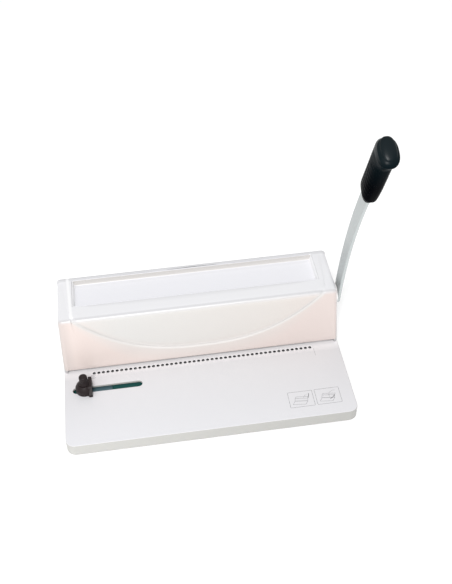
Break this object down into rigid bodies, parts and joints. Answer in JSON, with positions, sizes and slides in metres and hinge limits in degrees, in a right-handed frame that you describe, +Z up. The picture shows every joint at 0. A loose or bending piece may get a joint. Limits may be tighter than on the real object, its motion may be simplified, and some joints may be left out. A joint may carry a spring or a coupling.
{
  "type": "coil binding machine",
  "caption": "Table-top punch for plastic coil binding: white base with a gauge row and side guide, hood with supplies tray, hand lever with black grip.",
  "frame": {"origin": "middle of the flat underside of the base; the rubber feet reach 4 mm below it", "axes": "+X to the operator's right, where the lever is; +Y to the back, away from the operator; +Z up, normal to the base's underside"},
  "size_m": [0.3804, 0.21, 0.4075],
  "materials": {
    "white_plastic": "satin white, lightly glossy",
    "hood_plastic": "glossy warm white",
    "tray_plastic": "glossy cool white",
    "drawer_plastic": "moulded light grey",
    "black_plastic": "glossy black",
    "guide_plastic": "moulded dark brown-black",
    "lever_steel": "satin light grey",
    "tool_steel": "ground, lightly oiled",
    "plated_steel": "zinc plated",
    "green_steel": "dark green-black",
    "carrier_steel": "blued, satin",
    "bronze": "sintered bronze",
    "rubber": "matte black"
  },
  "bodies": {
    "frame": {"base_shell": "white_plastic", "base_plate": "plated_steel", "foot_front_left": "rubber", "foot_front_right": "rubber", "foot_rear_left": "rubber", "foot_rear_right": "rubber", "base_plate_screw_1": "plated_steel", "base_plate_screw_2": "plated_steel", "base_plate_screw_3": "plated_steel", "base_plate_screw_4": "plated_steel", "hood_shell": "hood_plastic", "supplies_tray": "tray_plastic", "rear_cover": "hood_plastic", "rear_cover_screw_1": "plated_steel", "rear_cover_screw_2": "plated_steel", "rear_cover_screw_3": "plated_steel", "rear_cover_screw_4": "plated_steel", "hood_screw_1": "plated_steel", "hood_screw_2": "plated_steel", "frame_side_left": "plated_steel", "frame_side_right": "plated_steel", "frame_foot_screw_1": "tool_steel", "frame_foot_screw_2": "tool_steel", "die_plate": "tool_steel", "punch_guide_bar": "tool_steel", "throat_shim": "plated_steel", "frame_bolt_1": "tool_steel", "frame_bolt_2": "tool_steel", "frame_bolt_3": "tool_steel", "frame_bolt_4": "tool_steel", "tie_rod": "plated_steel", "guide_post_left": "tool_steel", "guide_post_right": "tool_steel", "return_spring_left": "tool_steel", "return_spring_right": "tool_steel", "shaft_bearing_left": "bronze", "shaft_bearing_right": "bronze", "lever_boss": "white_plastic", "drawer_rail_front": "plated_steel", "drawer_rail_back": "plated_steel", "guide_rail": "green_steel"},
    "lever": {"drive_shaft": "tool_steel", "pinion_left": "tool_steel", "pinion_right": "tool_steel", "shaft_circlip": "tool_steel", "lever_arm": "lever_steel", "lever_grip": "black_plastic", "lever_screw": "plated_steel"},
    "punch_bar": {"pressure_bar": "tool_steel", "punch_pins": "tool_steel", "holder_screw_1": "tool_steel", "holder_screw_2": "tool_steel", "rack_left": "tool_steel", "rack_right": "tool_steel"},
    "side_guide": {"side_guide": "guide_plastic", "guide_screw": "plated_steel", "guide_carrier": "carrier_steel"},
    "guide_knob": {"guide_knob": "guide_plastic"},
    "chip_drawer": {"chip_drawer": "drawer_plastic"}
  },
  "joints": [
    {"name": "lever_swing", "type": "hinge", "parent": "frame", "child": "lever", "pos_m": [0, 0.0446, 0.081], "axis": [1, 0, 0], "range_deg": [0, 70], "stiffness_Nm_per_rad": 0.45, "springref_deg": -57.3},
    {"name": "punch_stroke", "type": "slide", "parent": "frame", "child": "punch_bar", "axis": [0, 0, -1], "range_m": [0, 0.013], "deforming": ["return_spring_left", "return_spring_right"]},
    {"name": "guide_slide", "type": "slide", "parent": "frame", "child": "side_guide", "axis": [1, 0, 0], "range_m": [-0.0115, 0.0675]},
    {"name": "knob_turn", "type": "hinge", "parent": "side_guide", "child": "guide_knob", "pos_m": [-0.1565, -0.0162, 0.03], "axis": [0, 0, 1], "range_deg": [0, 180]},
    {"name": "drawer_slide", "type": "slide", "parent": "frame", "child": "chip_drawer", "axis": [-1, 0, 0], "range_m": [0, 0.25]}
  ],
  "couplings": [
    {"joint": "punch_stroke", "follows": "lever_swing", "m_per_rad": 0.0105}
  ]
}
